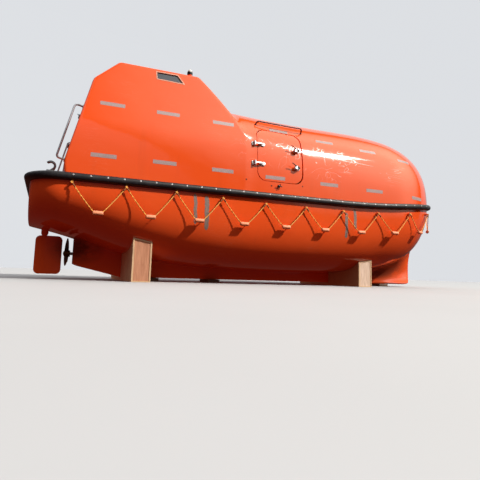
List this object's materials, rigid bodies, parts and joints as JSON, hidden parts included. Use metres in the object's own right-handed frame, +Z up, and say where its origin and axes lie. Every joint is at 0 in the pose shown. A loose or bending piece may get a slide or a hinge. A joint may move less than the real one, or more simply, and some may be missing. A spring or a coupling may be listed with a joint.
{
  "type": "totally enclosed lifeboat on a cradle",
  "caption": "Totally enclosed motor lifeboat with an aft conning tower, side hatches, becketed grab lines, release hooks, propeller and rudder, standing on a timber cradle.",
  "frame": {"origin": "on the floor, below the middle of the overall length, on the boat's centre plane", "axes": "+X to the bow, +Y to port, +Z up"},
  "size_m": [6.602, 2.516, 2.9513],
  "materials": {
    "orange_moulding": "glossy gelcoat",
    "orange_paint": "gloss paint",
    "black_rubber": "matt",
    "glazing": "clear, tinted",
    "polished_steel": "polished",
    "galvanised_steel": "dull",
    "white_plastic": "satin",
    "white_moulding": "satin gelcoat",
    "black_plastic": "matt",
    "bronze": "tarnished",
    "yellow_rope": "laid rope with orange floats",
    "plywood": "raw",
    "dark_timber": "raw, dirty"
  },
  "bodies": {
    "boat": {"hull": "orange_moulding", "keel": "orange_moulding", "canopy": "orange_moulding", "canopy_nose": "orange_moulding", "tower": "orange_moulding", "tower_aft": "orange_moulding", "aft_deck": "orange_moulding", "roof_coaming": "orange_moulding", "bow_well": "orange_moulding", "fender_starboard": "black_rubber", "fender_port": "black_rubber", "fender_stern": "black_rubber", "side_window_starboard": "glazing", "side_window_port": "glazing", "windscreen": "glazing", "aft_window": "glazing", "stern_rail_starboard": "polished_steel", "stern_rail_port": "polished_steel", "hatch_rail_starboard": "orange_paint", "hatch_rail_port": "orange_paint", "beacon": "white_plastic", "hook_frame_aft": "galvanised_steel", "hook_frame_fore": "galvanised_steel", "grab_line_starboard": "yellow_rope", "grab_line_port": "yellow_rope", "sole": "white_moulding", "bench_starboard": "white_moulding", "bench_port": "white_moulding", "engine": "white_moulding", "helm_seat": "black_plastic", "helm_console": "white_moulding", "saddle_aft": "plywood", "saddle_fore": "plywood", "keel_block_aft": "dark_timber", "keel_block_mid": "dark_timber", "keel_block_bow": "dark_timber"},
    "starboard_hatch": {"side_hatch_starboard": "orange_moulding", "hatch_hinge_low_starboard": "polished_steel", "hatch_hinge_high_starboard": "polished_steel", "hatch_latch_low_starboard": "polished_steel", "hatch_latch_high_starboard": "polished_steel"},
    "port_hatch": {"side_hatch_port": "orange_moulding", "hatch_hinge_low_port": "polished_steel", "hatch_hinge_high_port": "polished_steel", "hatch_latch_low_port": "polished_steel", "hatch_latch_high_port": "polished_steel"},
    "stern_door": {"aft_door": "orange_moulding", "door_hinge_low": "polished_steel", "door_hinge_high": "polished_steel", "door_latch_low": "polished_steel", "door_latch_high": "polished_steel"},
    "roof_lid": {"roof_hatch": "orange_moulding", "lid_hinge_starboard": "polished_steel", "lid_hinge_port": "polished_steel"},
    "screw": {"propeller": "bronze", "propeller_shaft": "galvanised_steel"},
    "steering_blade": {"rudder": "orange_paint"},
    "helm_wheel": {"steering_wheel": "black_plastic"},
    "aft_release": {"hook_aft": "galvanised_steel"},
    "fore_release": {"hook_fore": "galvanised_steel"}
  },
  "joints": [
    {"name": "starboard_hatch_hinge", "type": "hinge", "parent": "boat", "child": "starboard_hatch", "pos_m": [-0.474, -1.21613, 1.64354], "axis": [0, -0.1105, -0.9939], "range_deg": [0, 110]},
    {"name": "port_hatch_hinge", "type": "hinge", "parent": "boat", "child": "port_hatch", "pos_m": [-0.474, 1.21613, 1.64354], "axis": [0, -0.1105, 0.9939], "range_deg": [0, 110]},
    {"name": "stern_door_hinge", "type": "hinge", "parent": "boat", "child": "stern_door", "pos_m": [-2.76268, 0.358, 2.0108], "axis": [-0.2391, 0, -0.971], "range_deg": [0, 110]},
    {"name": "roof_lid_hinge", "type": "hinge", "parent": "boat", "child": "roof_lid", "pos_m": [-1.371, 0, 2.9373], "axis": [0, 1, 0], "range_deg": [0, 100]},
    {"name": "screw_spin", "type": "hinge", "parent": "boat", "child": "screw", "pos_m": [-2.733, 0, 0.345], "axis": [1, 0, 0], "continuous": true},
    {"name": "rudder_turn", "type": "hinge", "parent": "boat", "child": "steering_blade", "pos_m": [-3.028, 0, 0.5], "axis": [0, 0, 1], "range_deg": [-35, 35]},
    {"name": "wheel_turn", "type": "hinge", "parent": "boat", "child": "helm_wheel", "pos_m": [-1.203, 0, 1.67], "axis": [1, 0, 0], "range_deg": [-420, 420]},
    {"name": "aft_hook_release", "type": "hinge", "parent": "boat", "child": "aft_release", "pos_m": [-3.028, 0, 1.45], "axis": [0, -1, 0], "range_deg": [0, 70]},
    {"name": "fore_hook_release", "type": "hinge", "parent": "boat", "child": "fore_release", "pos_m": [2.417, 0, 2.23], "axis": [0, 1, 0], "range_deg": [0, 70]}
  ],
  "couplings": [
    {"joint": "wheel_turn", "follows": "rudder_turn", "ratio": 12}
  ]
}
